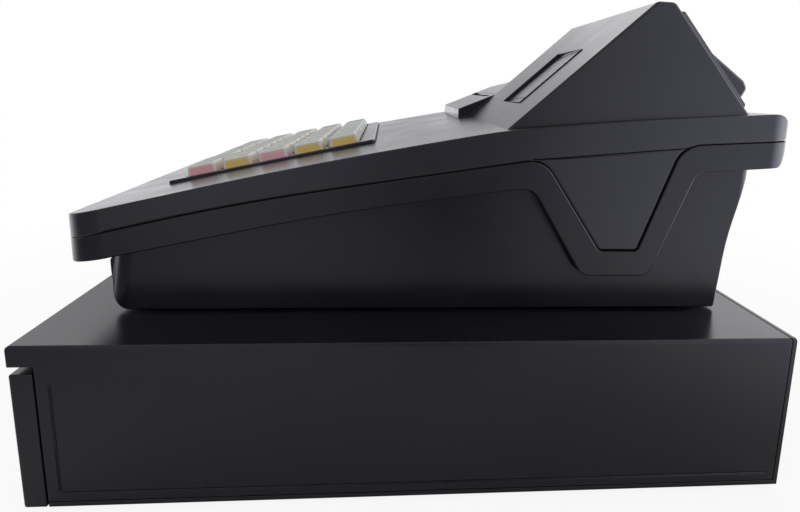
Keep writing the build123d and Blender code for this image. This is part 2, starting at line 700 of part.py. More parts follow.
def upper_case():
    """Deck, hump, printer block and side aprons in one moulding."""
    band = case_block(band_outline, case_half, corner_radius, nose_corner)
    above = band - slab(below_parting, -case_half - 5, case_half + 5)
    hump = slab(side_view(hump_outline()), hump_far, hump_near)
    flank = hump.edges().filter_by(lambda e: e.center().Z > height(100))
    flank = flank.filter_by(lambda e: abs(e.center().X - hump_near) < 0.01)
    hump = fillet(flank, 1.2)
    printer = slab(side_view(block_outline()), block_far, hump_far)
    printer = chamfer(printer.edges().filter_by(
        lambda e: abs(e.center().X - block_far) < 0.01 and e.center().Z > height(96)),
        block_chamfer)
    solid = above + hump + printer
    # rooms inside
    band_room = slab(inset(band_outline, case_wall), -case_half + case_wall, case_half - case_wall)
    band_room &= case_block([(band_front + case_wall, 0, 0), (nose_back - case_wall, 0, 0),
                             (nose_back - case_wall, 120, 0), (band_front + case_wall, 120, 0)],
                            case_half - case_wall, corner_radius - case_wall,
                            nose_corner - case_wall)
    lower_side = [(band_front + case_wall, 0, 0), (nose_back - case_wall, 0, 0),
                  (nose_back - case_wall, 90, 0), (band_front + case_wall, 30, 0)]
    hump_room = slab(inset(hump_outline(), case_wall), hump_far + case_wall / 2,
                     hump_near - case_wall)
    block_room = slab(inset(block_outline(), case_wall), block_far + case_wall + block_chamfer / 2,
                      hump_far - case_wall / 2)
    foot_room = side_view([(deck_foot[0] + 6, 80, 0), (deck_foot[0] + 9, 98.0, 0),
                           (hump_foot_back[0] - 9, 104.0, 0), (hump_foot_back[0] - 12, 80, 0)])
    solid -= band_room
    solid -= slab(side_view(lower_side), -case_half + case_wall, case_half - case_wall)
    solid -= hump_room
    solid -= block_room
    solid -= slab(foot_room, hump_far + case_wall / 2, hump_near - case_wall)
    solid -= slab(foot_room, block_far + case_wall, hump_far - case_wall / 2)
    solid = cut_aprons(solid)
    solid = cut_keyboard(solid)
    solid = cut_window(solid)
    solid = cut_printer(solid)
    # bosses that meet the lower case's screw bosses, and tabs behind the rear wall
    for x in (-boss_x, boss_x):
        for y in boss_depths:
            roof = height(deck_z(y)) - case_wall / 2
            solid += rod(boss_radius, (x, depth(y), boss_joint), (0, 0, 1), roof - boss_joint)
            solid -= rod(screw_radius + running, (x, depth(y), boss_joint - 1), (0, 0, 1), 14)
        s = 1 if x > 0 else -1
        solid += block(s * hook_x - 6, s * hook_x + 6, depth(353.4), depth(355.4),
                       height(70), height(105.5))
    save("upper_case", solid)
    return solid


def cut_aprons(solid):
    """Each side apron under the crease lies a little inside the band."""
    crease = side_view([(240.0, 82.3, 0.0), (244.0, 82.3, 0.0), (325.0, 89.6, 0.0),
                        (325.0, 20.0, 0.0), (240.0, 20.0, 0.0)])
    for s in (-1, 1):
        x0, x1 = sorted((s * (case_half - apron_inset), s * (case_half + 2)))
        solid -= slab(crease, x0, x1)
    return solid


def cut_keyboard(solid):
    """Opening in the deck, with a sunk ledge that carries the keyboard plate."""
    sink = plate_thickness - plate_proud
    pocket = Pos(0, 0, 10 - sink) * Box(plate_width + 2 * seam, plate_length + 2 * seam, 20)
    pocket = fillet(pocket.edges().filter_by(Axis.Z), 2.0 + seam)
    hole = Box(plate_width - 2 * plate_ledge, plate_length - 2 * plate_ledge, 40)
    return solid - keyboard_origin * (pocket + hole)


def cut_window(solid):
    """Recess for the operator window: deep at its left end and running out at its right."""
    backing = window_depth + pane_thickness + 0.5
    solid += window_middle * (Pos(0, 0, -backing / 2 - 0.5) * Box(
        window_width + 6, window_length + 6, backing - 1))
    wedge = Pos(0, 0, 10 - window_depth / 2) * (Rot(0, -window_tilt, 0) * Box(
        window_width + 8, window_length, 20))
    wedge &= Box(window_width, window_length + 2, 30)
    solid -= window_middle * wedge
    pane_hole = Pos(0, 0, -window_depth / 2) * (Rot(0, -window_tilt, 0) * Box(
        window_width - 2 * pane_rim, window_length - 2 * pane_rim, 16))
    return solid - window_middle * pane_hole


def cut_printer(solid):
    """Mouth under the printer cover, with the paper slot ahead of it and the hinge stubs."""
    x0 = block_far + cover_margin
    x1 = hump_far - cover_margin
    mouth = block(x0, x1, depth(cover_front - slot_width), depth(cover_rear) + hinge_room,
                  height(90), height(140))
    solid -= mouth
    for x, s in ((x0, 1), (x1, -1)):
        root = cover_margin - 1.0
        solid += rod(hinge_pin_radius, (x - s * root, cover_hinge_y, cover_hinge_z), (s, 0, 0),
                     root + seam + hinge_stub)
    return solid


def display_window():
    """Clear pane set flush in the recess floor."""
    pane = Pos(0, 0, -window_depth / 2 - pane_thickness / 2) * (Rot(0, -window_tilt, 0) * Box(
        window_width - 2 * (pane_rim + pane_gap), window_length - 2 * (pane_rim + pane_gap),
        pane_thickness))
    save("display_window", window_middle * pane)


def display_module():
    """Character display behind the operator window, hung on its own board from four posts."""
    seat = -window_depth - pane_thickness - 0.5       # underside of the recess
    glass_thickness = 4.0
    board = seat - glass_thickness - 0.8
    glass = Pos(0, 0, board + glass_thickness / 2) * Box(
        window_width - 2 * pane_rim - 4, window_length - 2 * pane_rim - 6, glass_thickness)
    module = glass + Pos(0, 0, board - board_thickness / 2) * Box(
        window_width, window_length - 2, board_thickness)
    for x in (-window_width / 2 + 2.4, window_width / 2 - 2.4):
        for y in (-window_length / 2 + 3.4, window_length / 2 - 3.4):
            module += Pos(x, y, (seat + board) / 2) * Cylinder(1.8, seat - board)
    save("display_module", window_middle * module)


# ---------------------------------------------------------------- keyboard
# column 0 is at the register's right; each entry: name, column, row, columns wide, rows deep
key_layout = (
    [(f"key_department_{r + 1}", 0, r, 1, 1) for r in range(5)]
    + [("key_total", 1, 0, 1, 2)]
    + [(f"key_function_{r - 1}", 1, r, 1, 1) for r in range(2, 5)]
    + [("key_point", 2, 0, 1, 1), ("key_0", 3, 0, 2, 1)]
    + [(f"key_{3 * r - c + 2}", c, r, 1, 1) for r in (1, 2, 3) for c in (2, 3, 4)]
    + [("key_multiply", 2, 4, 1, 1), ("key_quantity", 3, 4, 1, 1), ("key_clear", 4, 4, 1, 1)]
    + [(f"key_mode_{r + 1}", 5, r, 2, 1) for r in range(5)])


def key_place(column, row, wide, deep):
    """Middle of a key in the keyboard's own plane."""
    x = plate_width / 2 - 4.0 - (column + wide / 2) * key_pitch_x
    y = (row + deep / 2 - key_rows / 2) * key_pitch_y
    return x, y


def key_size(wide, deep):
    return wide * key_pitch_x - key_gap, deep * key_pitch_y - key_gap


leg_out = plate_ledge + seam                  # frame's legs, just inside the ledge
leg_width = 1.0
board_top = -mat_depth - board_thickness      # contact board under the mat


def keyboard_frame():
    """Plate with a window for each key, on two legs that hold the mat and its board."""
    plate = Pos(0, 0, plate_proud - plate_thickness / 2) * Box(
        plate_width, plate_length, plate_thickness)
    plate = fillet(plate.edges().filter_by(Axis.Z), 2.0)
    plate = chamfer(plate.edges().group_by(Axis.Z)[-1], 0.5)
    for name, column, row, wide, deep in key_layout:
        x, y = key_place(column, row, wide, deep)
        w, d = key_size(wide, deep)
        plate -= Pos(x, y, 0) * Box(w + 2 * key_hole_gap, d + 2 * key_hole_gap, 20)
    leg_top = plate_proud - plate_thickness
    for s in (-1, 1):
        x = s * (plate_width / 2 - leg_out - leg_width / 2)
        plate += Pos(x, 0, (leg_top + board_top) / 2) * Box(
            leg_width, plate_length - 12, leg_top - board_top)
    save("keyboard_frame", keyboard_origin * plate)


def keyboard_keys():
    """Hollow tapered caps, each with a stem down to its dome."""
    stem_low = -mat_depth + dome_height + seam + key_travel
    for name, column, row, wide, deep in key_layout:
        x, y = key_place(column, row, wide, deep)
        w, d = key_size(wide, deep)
        shrink = 2 * (key_height + key_skirt) * tan(radians(key_taper))
        foot = chamfer((Pos(x, y, -key_skirt) * Rectangle(w, d)).vertices(), key_corner)
        crown = chamfer((Pos(x, y, key_height) * Rectangle(w - shrink, d - shrink)).vertices(),
                        key_corner)
        room = Pos(x, y, -key_skirt) * Rectangle(w - 2 * key_wall, d - 2 * key_wall)
        ceiling = Pos(x, y, key_height - key_wall) * Rectangle(
            w - 2 * key_wall - shrink, d - 2 * key_wall - shrink)
        cap = loft([foot, crown]) - loft([room, ceiling])
        stem_top = key_height - key_wall
        cap += Pos(x, y, (stem_low + stem_top) / 2) * Box(4.0, 4.0, stem_top - stem_low)
        save(name, keyboard_origin * cap)


def key_mat():
    """Silicone mat with a dome under each key, on the contact board."""
    inner = plate_width - 2 * (leg_out + leg_width + seam)
    board = Pos(0, 0, board_top - board_thickness / 2) * Box(
        plate_width - 2 * leg_out, plate_length - 8, board_thickness)
    mat = Pos(0, 0, board_top + board_thickness / 2) * Box(inner, plate_length - 10, board_thickness)
    body = board + mat
    for name, column, row, wide, deep in key_layout:
        x, y = key_place(column, row, wide, deep)
        body += Pos(x, y, -mat_depth) * extrude(RegularPolygon(dome_radius, 8), dome_height, taper=45)
    save("key_mat", keyboard_origin * body)


# ---------------------------------------------------------------- printer
barrel_radius = 2.4
hinge_stub = 4.0           # hinge stub inside the cover's barrel
cover_hinge_y = depth(cover_rear)


cover_hinge_z = height(block_roof(cover_rear)) - barrel_radius
cover_lean = radians(max(cover_swing - 90.0, 0.0))
hinge_room = barrel_radius * (1 + sin(cover_lean)) / cos(cover_lean) + seam


def printer_cover():
    """Lid over the paper bay, flush with the block's roof, on a barrel at its rear."""
    x0 = block_far + cover_margin + seam
    x1 = hump_far - cover_margin - seam
    bends = [(y, z, 0.0) for y, z in block_roof_line if cover_front < y < cover_rear][::-1]
    roof = [(cover_front, block_roof(cover_front), 0.0), (cover_front, 90.0, 0.0),
            (cover_rear, 90.0, 0.0), (cover_rear, block_roof(cover_rear), 0.0)] + bends
    under = [(y, z - cover_thickness, r) for y, z, r in roof]
    under = [(cover_front - 1, under[0][1], 0.0), (cover_front - 1, 80.0, 0.0),
             (cover_rear + 1, 80.0, 0.0), (cover_rear + 1, under[3][1], 0.0)] + under[4:]
    lid = slab(side_view(roof), x0, x1) - slab(side_view(under), x0 - 1, x1 + 1)
    lid += rod(barrel_radius, (x0, cover_hinge_y, cover_hinge_z), (1, 0, 0), x1 - x0)
    for x, s in ((x0, 1), (x1, -1)):
        lid -= rod(hinge_pin_radius + running, (x - s, cover_hinge_y, cover_hinge_z), (s, 0, 0),
                   hinge_stub + 1.5)
    save("printer_cover", lid)


platen_y = 244.5           # platen's axis from the cabinet's front
platen_z = 103.0
platen_shaft = 1.5
ear_thickness = 2.0
ear_low = height(92.0)


def printer_mechanism():
    """Paper bucket with its trough, and the print head block with the platen's ears."""
    low = bucket_low
    rim = 100.0
    bucket = block(roll_middle - bucket_half, roll_middle + bucket_half, depth(bucket_front),
                   depth(bucket_back), height(low), height(rim))
    inner = bucket_half - bucket_wall
    trough = roll_diameter / 2 + roll_clear
    bucket -= rod(trough, (roll_middle - inner, depth(roll_depth), height(roll_axis_z)),
                  (1, 0, 0), 2 * inner)
    bucket -= block(roll_middle - inner, roll_middle + inner, depth(roll_depth) - trough,
                    depth(roll_depth) + trough, height(roll_axis_z), height(rim + 5))
    head = block(roll_middle - bucket_half, roll_middle + bucket_half, depth(236.5),
                 depth(bucket_front), height(76), height(platen_z - platen_diameter / 2 - 1.5))
    head += block(roll_middle - platen_length / 2 + 4, roll_middle + platen_length / 2 - 4,
                  depth(236.5), depth(239.0), height(90), height(platen_z + 1))
    body = bucket + head
    for s in (-1, 1):
        x = roll_middle + s * (platen_length / 2 + 1.0 + ear_thickness / 2)
        ear = block(x - ear_thickness / 2, x + ear_thickness / 2, depth(platen_y - 5),
                    depth(platen_y + 6), ear_low, height(platen_z + 4))
        ear -= rod(platen_shaft + running, (x - 1.5 * ear_thickness, depth(platen_y),
                                            height(platen_z)), (1, 0, 0), 3 * ear_thickness)
        body += ear
    save("printer_mechanism", body)


def platen_roller():
    axis = (1, 0, 0)
    x0 = roll_middle - platen_length / 2
    at = (depth(platen_y), height(platen_z))
    roller = rod(platen_diameter / 2, (x0, *at), axis, platen_length)
    roller += rod(platen_shaft, (x0 - 5.5, *at), axis, platen_length + 11)
    wheel = Plane(origin=(x0 + platen_length + 4.0, *at), z_dir=axis) * extrude(
        RegularPolygon(5.0, 14), 1.5)
    save("platen_roller", roller + wheel)


def paper_roll():
    drop = roll_clear - seam
    centre = (depth(roll_depth), height(roll_axis_z) - drop)
    x0 = roll_middle - roll_width / 2
    save("paper_roll", tube(roll_diameter / 2, roll_core_radius, (x0, *centre), (1, 0, 0),
                            roll_width))


# ---------------------------------------------------------------- customer side
rear_length = hypot(hump_foot_back[0] - ridge_back[0], ridge_back[1] - hump_foot_back[1])


def rear_panel():
    """Raised panel on the hump's rear slope."""
    low = rear_plate_low
    high = rear_length - rear_plate_high
    middle = on_rear((hump_near + hump_far) / 2, (low + high) / 2, rear_plate_proud / 2)
    plate = Box(hump_near - hump_far - 2 * rear_plate_margin, high - low, rear_plate_proud)
    plate = chamfer(plate.edges().group_by(Axis.Z)[-1], 0.8)
    save("rear_panel", middle * plate)


# pod outline: along the rear slope, out from it, corner radius
pod_outline = [(35.0, rear_plate_proud, 0.0), (35.0, 8.8, 2.0), (60.5, 15.3, 5.0),
               (65.2, 14.2, 3.0), (66.8, 9.6, 2.0), (65.0, rear_plate_proud, 0.0)]
pod_border = 8.0
pod_sink = 0.5


def customer_display():
    """Smoked pod on the rear panel that tilts the customer's display upwards."""
    line = FilletPolyline(*[(y, z) for y, z, _ in pod_outline],
                          radius=[r for _, _, r in pod_outline], close=True)
    pod = slab(Plane.YZ * make_face(line), pod_far, pod_near)
    ends = pod.edges().filter_by(lambda e: min(abs(e.center().X - pod_far),
                                               abs(e.center().X - pod_near)) < 0.01)
    ends = ends.filter_by(lambda e: e.center().Z > rear_plate_proud + 1)
    pod = chamfer(ends, 1.0)
    # the glass field is sunk in the sloping face between the outline's second and third corners
    (y0, z0, _), (y1, z1, _) = pod_outline[1:3]
    tilt = degrees(atan2(z1 - z0, y1 - y0))
    field = Location(((pod_far + pod_near) / 2, (y0 + y1) / 2, (z0 + z1) / 2), (tilt, 0, 0))
    sunk = field * Box(pod_near - pod_far - 2 * pod_border, hypot(y1 - y0, z1 - z0) - pod_border,
                       2 * pod_sink)
    save("customer_display", on_rear(0, 0, 0) * (pod - sunk))


# ---------------------------------------------------------------- electrics
# block parts on the board: from and to across its middle, from and to in depth, height
board_blocks = [(-14.0, 14.0, 170.0, 198.0, 3.0), (30.0, 60.0, 140.0, 148.0, 9.0),
                (-66.0, -40.0, 140.0, 148.0, 9.0), (34.0, 54.0, 196.0, 216.0, 14.0)]
# round parts: across, depth, radius, height
board_rounds = [(-62.0, 205.0, 6.0, 18.0), (-44.0, 205.0, 6.0, 18.0), (0.0, 140.0, 8.0, 7.0)]


def main_board():
    """Circuit board with its tallest components."""
    z = board_low + board_thickness
    body = block(board_middle_x - board_half_x, board_middle_x + board_half_x, depth(board_front),
                 depth(board_back), board_low, z)
    for x0, x1, y0, y1, tall in board_blocks:
        body += block(board_middle_x + x0, board_middle_x + x1, depth(y0), depth(y0) + y1 - y0,
                      z, z + tall)
    for x, y, radius, tall in board_rounds:
        body += rod(radius, (board_middle_x + x, depth(y), z), (0, 0, 1), tall)
    save("main_board", body)


rocker_pin = 1.0
rocker_half = 6.0
rocker_half_z = 6.8
socket_deep = 12.0         # inlet and switch housing, behind their faces
rocker_y = socket_face - 2.0


def power_inlet():
    """Power jack and the rocker switch's housing, set in the tub's back wall."""
    clear = 0.2
    y0 = socket_face - socket_deep
    jack = block(inlet_x - inlet_half + clear, inlet_x + inlet_half - clear, y0, socket_face,
                 socket_z - inlet_half_z + clear, socket_z + inlet_half_z - clear)
    jack -= rod(3.1, (inlet_x, y0 + 3, socket_z), (0, 1, 0), 12)
    jack += rod(1.0, (inlet_x, y0 + 3, socket_z), (0, 1, 0), 8)
    housing = block(switch_x - switch_half + clear, switch_x + switch_half - clear, y0, socket_face,
                    socket_z - switch_half_z + clear, socket_z + switch_half_z - clear)
    housing -= block(switch_x - rocker_half - seam, switch_x + rocker_half + seam, y0 + 2,
                     socket_face + 1, socket_z - rocker_half_z, socket_z + rocker_half_z)
    housing -= rod(rocker_pin + running, (switch_x - rocker_half - 3, rocker_y, socket_z),
                   (1, 0, 0), 2 * rocker_half + 6)
    save("power_inlet", Compound(children=[jack, housing]))


def power_switch():
    """Rocker, stored tipped to its off side."""
    tip = 9.0
    line = FilletPolyline((-3.5, -5.4), (2.6, -5.6), (1.2, 0), (2.6, 5.6), (-3.5, 5.4),
                          (-5.0, 0), radius=[0.8, 0.6, 6, 0.6, 0.8, 2], close=True)
    rocker = slab(Plane.YZ * make_face(line), -rocker_half, rocker_half)
    rocker += rod(rocker_pin, (-rocker_half - 2.2, 0, 0), (1, 0, 0), 2 * rocker_half + 4.4)
    save("power_switch", Location((switch_x, rocker_y, socket_z), (tip, 0, 0)) * rocker)


def case_screws():
    """Case screws from below, and the cabinet's back screws."""
    solids = []
    for x in (-boss_x, boss_x):
        for y in boss_depths:
            low = top + pad_height + screw_recess - screw_head_height
            head = rod(screw_head_radius, (x, depth(y), low), (0, 0, 1), screw_head_height)
            solids.append(head + rod(screw_radius, (x, depth(y), low), (0, 0, 1),
                                     boss_joint + 12 - low))
    for s in (-1, 1):
        for z in back_screw_heights:
            face = back - back_rim + sheet
            at = (s * back_screw_x, face, z)
            head = rod(screw_head_radius, at, (0, 1, 0), screw_head_height)
            solids.append(head + rod(screw_radius, (at[0], face - 7, z), (0, 1, 0), 8))
    save("case_screws", Compound(children=solids))


for shape_maker in (cabinet_cover, cabinet_base, cabinet_feet, drawer_runners, drawer_tray,
                    drawer_front, drawer_lock, cash_insert, bill_clips, latch_hook,
                    latch_solenoid, lower_case, upper_case, display_window, display_module,
                    keyboard_frame, keyboard_keys, key_mat, printer_cover, printer_mechanism,
                    platen_roller, paper_roll, rear_panel, customer_display, main_board,
                    power_inlet, power_switch, case_screws):
    shape_maker()
tray_roller(-1, "tray_roller_left")
tray_roller(1, "tray_roller_right")
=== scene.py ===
import bmesh
import bpy
import json
import math
import numpy as np
from mathutils import Matrix, Vector
from mathutils.bvhtree import BVHTree

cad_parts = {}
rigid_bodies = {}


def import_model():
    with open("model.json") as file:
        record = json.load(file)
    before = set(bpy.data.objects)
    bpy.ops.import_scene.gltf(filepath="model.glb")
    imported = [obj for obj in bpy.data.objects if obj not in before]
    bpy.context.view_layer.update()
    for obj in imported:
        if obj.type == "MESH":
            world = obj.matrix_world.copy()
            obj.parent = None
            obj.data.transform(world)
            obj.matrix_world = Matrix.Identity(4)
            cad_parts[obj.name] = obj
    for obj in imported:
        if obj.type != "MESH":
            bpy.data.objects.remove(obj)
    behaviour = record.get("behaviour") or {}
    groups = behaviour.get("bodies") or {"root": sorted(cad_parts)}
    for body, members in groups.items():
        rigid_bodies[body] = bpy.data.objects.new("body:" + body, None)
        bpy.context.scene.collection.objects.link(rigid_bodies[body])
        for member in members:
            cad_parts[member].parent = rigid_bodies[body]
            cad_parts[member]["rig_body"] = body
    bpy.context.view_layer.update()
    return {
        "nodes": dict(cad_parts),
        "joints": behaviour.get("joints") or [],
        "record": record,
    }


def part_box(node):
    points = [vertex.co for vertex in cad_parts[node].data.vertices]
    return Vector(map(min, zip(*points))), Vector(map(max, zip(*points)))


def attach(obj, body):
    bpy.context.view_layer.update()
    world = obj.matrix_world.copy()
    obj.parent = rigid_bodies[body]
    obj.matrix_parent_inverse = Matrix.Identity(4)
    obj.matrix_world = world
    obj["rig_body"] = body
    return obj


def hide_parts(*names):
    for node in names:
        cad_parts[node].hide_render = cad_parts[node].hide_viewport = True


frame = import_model()
nodes = frame["nodes"]
slotOf = {row["node"]: row["material_slot"] for row in frame["record"]["subparts"]}
joints = {joint["name"]: joint for joint in frame["joints"]}
mm = 0.001
print("frame loaded with", len(nodes), "nodes")


# camera, to the register's right and a little above the deck
cameraView = {
    "beyondSide": 0.28268, "behindFront": 0.16716, "overTable": 0.19929,  # metres
    "yaw": 5.421, "pitch": 12.204, "roll": 1.539,                         # degrees
    "focal": 646.13, "centreX": 445.51, "centreY": 227.92,                # pixels
    "wide": 800.0, "high": 512.0,
}


def makeCamera(v):
    coverLow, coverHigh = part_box("cabinet_cover")
    yaw, pitch, roll = (math.radians(v[key]) for key in ("yaw", "pitch", "roll"))
    ahead = Vector((-math.cos(pitch) * math.cos(yaw), math.cos(pitch) * math.sin(yaw),
                    -math.sin(pitch)))
    level = ahead.cross(Vector((0, 0, 1))).normalized()
    upright = level.cross(ahead)
    right = math.cos(roll) * level + math.sin(roll) * upright
    up = math.cos(roll) * upright - math.sin(roll) * level
    data = bpy.data.cameras.new("camera")
    camera = bpy.data.objects.new("camera", data)
    bpy.context.scene.collection.objects.link(camera)
    data.sensor_width = 36.0
    data.lens = data.sensor_width * v["focal"] / v["wide"]
    data.shift_x = (v["wide"] / 2 - v["centreX"]) / v["wide"]
    data.shift_y = (v["centreY"] - v["high"] / 2) / v["wide"]
    data.clip_start = 0.01
    turn = Matrix((right, up, -ahead)).transposed().to_4x4()
    place = (coverHigh.x + v["beyondSide"], coverLow.y + v["behindFront"], v["overTable"])
    camera.matrix_world = Matrix.Translation(place) @ turn
    bpy.context.scene.camera = camera


makeCamera(cameraView)
print("camera placed")


# shader node groups that several finishes share
def newGroup(name, inputs, outputs):
    group = bpy.data.node_groups.new(name, "ShaderNodeTree")
    for label, kind, value in inputs:
        socket = group.interface.new_socket(name=label, in_out="INPUT", socket_type=kind)
        if value is not None:
            socket.default_value = value
    for label in outputs:
        kind = "NodeSocketColor" if label == "Colour" else "NodeSocketFloat"
        group.interface.new_socket(name=label, in_out="OUTPUT", socket_type=kind)
    start = group.nodes.new("NodeGroupInput")
    end = group.nodes.new("NodeGroupOutput")
    return group, start.outputs, end.inputs


def addNode(tree, kind, settings=None, values=None):
    node = tree.nodes.new(kind)
    for key, value in (settings or {}).items():
        setattr(node, key, value)
    for key, value in (values or {}).items():
        if isinstance(value, bpy.types.NodeSocket):
            tree.links.new(value, node.inputs[key])
        else:
            node.inputs[key].default_value = value
    return node


def spread(tree, value, low, high, toLow=0.0, toHigh=1.0):  # clamped map to another range
    node = addNode(tree, "ShaderNodeMapRange", {"clamp": True}, {
        "Value": value, "From Min": low, "From Max": high, "To Min": toLow, "To Max": toHigh})
    return node.outputs["Result"]


def combine(tree, how, *values):
    return addNode(tree, "ShaderNodeMath", {"operation": how}, dict(enumerate(values))).outputs[0]


def noise(tree, place, scale, detail=3.0, roughness=0.55):
    return addNode(tree, "ShaderNodeTexNoise", None, {
        "Vector": place, "Scale": scale, "Detail": detail, "Roughness": roughness}).outputs["Fac"]


def buildMouldGrain():
    # spark-eroded mould texture: fine cells with a finer ripple, and slow patches of gloss
    group, given, result = newGroup("mouldGrain", [
        ("Coordinate", "NodeSocketVector", None), ("Cells", "NodeSocketFloat", 1500.0),
        ("Patches", "NodeSocketFloat", 30.0)], ["Height", "Patch"])
    cells = addNode(group, "ShaderNodeTexVoronoi", {"feature": "SMOOTH_F1"}, {
        "Vector": given["Coordinate"], "Scale": given["Cells"], "Smoothness": 0.6})
    ripple = noise(group, given["Coordinate"], given["Cells"], 3.0, 0.6)
    patch = noise(group, given["Coordinate"], given["Patches"], 4.0)
    height = combine(group, "MULTIPLY_ADD", cells.outputs["Distance"], 0.6, ripple)
    group.links.new(height, result["Height"])
    group.links.new(spread(group, patch, 0.3, 0.7), result["Patch"])
    return group


def buildEdgeWearAndHighlight():
    # outer edges, found where the rounded normal turns away from the true one; the lighter colour
    # laid on them is partly rubbed wear and partly a painted edge highlight
    group, given, result = newGroup("edgeWearAndHighlight", [
        ("Coordinate", "NodeSocketVector", None), ("Reach", "NodeSocketFloat", 0.8 * mm),
        ("Breaks", "NodeSocketFloat", 120.0)], ["Mask"])
    rounded = addNode(group, "ShaderNodeBevel", {"samples": 4}, {"Radius": given["Reach"]})
    plain = addNode(group, "ShaderNodeNewGeometry")
    meeting = addNode(group, "ShaderNodeVectorMath", {"operation": "DOT_PRODUCT"}, {
        0: rounded.outputs["Normal"], 1: plain.outputs["Normal"]})
    edge = spread(group, meeting.outputs["Value"], 0.97, 0.8)
    rubbedAndLit = spread(group, noise(group, given["Coordinate"], given["Breaks"]), 0.4, 0.62)
    group.links.new(combine(group, "MULTIPLY", edge, rubbedAndLit), result["Mask"])
    return group


def buildDust():
    # thin dust on what faces up, in specks that gather in patches
    group, given, result = newGroup("restingDust", [
        ("Coordinate", "NodeSocketVector", None), ("Specks", "NodeSocketFloat", 900.0)],
        ["Mask"])
    facing = addNode(group, "ShaderNodeNewGeometry")
    parts = addNode(group, "ShaderNodeSeparateXYZ", None, {0: facing.outputs["Normal"]})
    up = spread(group, parts.outputs["Z"], 0.4, 1.0)
    fine = spread(group, noise(group, given["Coordinate"], given["Specks"], 2.0), 0.52, 0.72)
    soft = spread(group, noise(group, given["Coordinate"], 14.0), 0.35, 0.7, 0.2, 1.0)
    lying = combine(group, "MULTIPLY", combine(group, "MULTIPLY", fine, soft), up)
    group.links.new(lying, result["Mask"])
    return group


mouldGrain = buildMouldGrain()
edgeWearAndHighlight = buildEdgeWearAndHighlight()
restingDust = buildDust()


def newFinish(name):
    material = bpy.data.materials.new(name)
    material.use_nodes = True
    tree = material.node_tree
    place = addNode(tree, "ShaderNodeTexCoord").outputs["Object"]
    return material, tree, tree.nodes["Principled BSDF"], place


def mixColours(tree, share, a, b):
    node = addNode(tree, "ShaderNodeMix", {"data_type": "RGBA"})
    for key, value in (("Factor", share), ("A", a), ("B", b)):
        socket = [s for s in node.inputs if s.name == key and s.enabled][0]
        if isinstance(value, bpy.types.NodeSocket):
            tree.links.new(value, socket)
        else:
            socket.default_value = value if key == "Factor" else (*value, 1.0)
    return [s for s in node.outputs if s.enabled][0]


def colouredSurface(name, look):
    # grain in the bump, patches in the gloss and colour, lighter outer edges that are partly
    # rubbed wear and partly a painted edge highlight, and a little dust
    material, tree, shader, place = newFinish(name)
    grain = addNode(tree, "ShaderNodeGroup", {"node_tree": mouldGrain}, {
        "Coordinate": place, "Cells": look["cells"], "Patches": look.get("patches", 30.0)})
    wearAndHighlight = addNode(tree, "ShaderNodeGroup", {"node_tree": edgeWearAndHighlight}, {
        "Coordinate": place, "Reach": look.get("edgeReach", 0.6 * mm)})
    dust = addNode(tree, "ShaderNodeGroup", {"node_tree": restingDust}, {"Coordinate": place})
    patchy = mixColours(tree, grain.outputs["Patch"], look["colour"], look["patchColour"])
    for layer, colour in look.get("layers", {}).items():     # each by an attribute of its own
        share = addNode(tree, "ShaderNodeAttribute", {"attribute_name": layer}).outputs["Fac"]
        patchy = mixColours(tree, share, patchy, colour)
    # outer edges take the lighter colour: partly rubbed wear, partly a painted highlight along the
    # edges
    wornAndLit = combine(tree, "MULTIPLY", wearAndHighlight.outputs["Mask"], look["wearAndHighlight"])
    rubbedAndLit = mixColours(tree, wornAndLit, patchy, look["wornAndHighlightColour"])
    dusty = combine(tree, "MULTIPLY", dust.outputs["Mask"], look["dust"])
    tree.links.new(mixColours(tree, dusty, rubbedAndLit, look.get("dustColour", (0.5, 0.49, 0.47))),
                   shader.inputs["Base Color"])
    tree.links.new(spread(tree, grain.outputs["Patch"], 0.0, 1.0, *look["roughness"]),
                   shader.inputs["Roughness"])
    bump = addNode(tree, "ShaderNodeBump", None, {
        "Height": grain.outputs["Height"], "Strength": look["bump"], "Distance": 0.1 * mm})
    tree.links.new(bump.outputs["Normal"], shader.inputs["Normal"])
    for socket, value in look.get("shader", {}).items():
        shader.inputs[socket].default_value = value
    return material


# the case plastic's strong, much lighter edge colour is partly wear and partly a painted edge
# highlight; the looks built on it carry the same
caseLook = {"colour": (0.008, 0.008, 0.012), "patchColour": (0.011, 0.011, 0.016),
            "wornAndHighlightColour": (0.03, 0.03, 0.036), "cells": 1100.0, "roughness": (0.2, 0.26),
            "bump": 0.1, "wearAndHighlight": 0.9, "dust": 0.06}
# the tub is a darker, less glossy copy of the case plastic: partly its own duller finish, partly
# painted shade where it sits under the overhanging band
tubDullerAndShadedLook = {**caseLook, "colour": (0.006, 0.006, 0.009), "patchColour": (0.009, 0.009, 0.013),
           "shader": {"Specular IOR Level": 0.38}}
paintLook = {"colour": (0.006, 0.006, 0.01), "patchColour": (0.009, 0.009, 0.014),
             "wornAndHighlightColour": (0.05, 0.05, 0.06), "cells": 700.0, "roughness": (0.2, 0.27),
             "bump": 0.1, "wearAndHighlight": 0.5, "dust": 0.05, "patches": 12.0,
             "shader": {"Specular IOR Level": 0.4}}
keyLayers = {"rim": (0.72, 0.7, 0.68), "crown": (0.28, 0.33, 0.28)}
metalLook = {"colour": (0.55, 0.55, 0.56), "patchColour": (0.48, 0.48, 0.5),
             "wornAndHighlightColour": (0.7, 0.7, 0.7), "cells": 500.0, "roughness": (0.28, 0.42),
             "bump": 0.1, "wearAndHighlight": 0.5, "dust": 0.05, "shader": {"Metallic": 1.0}}
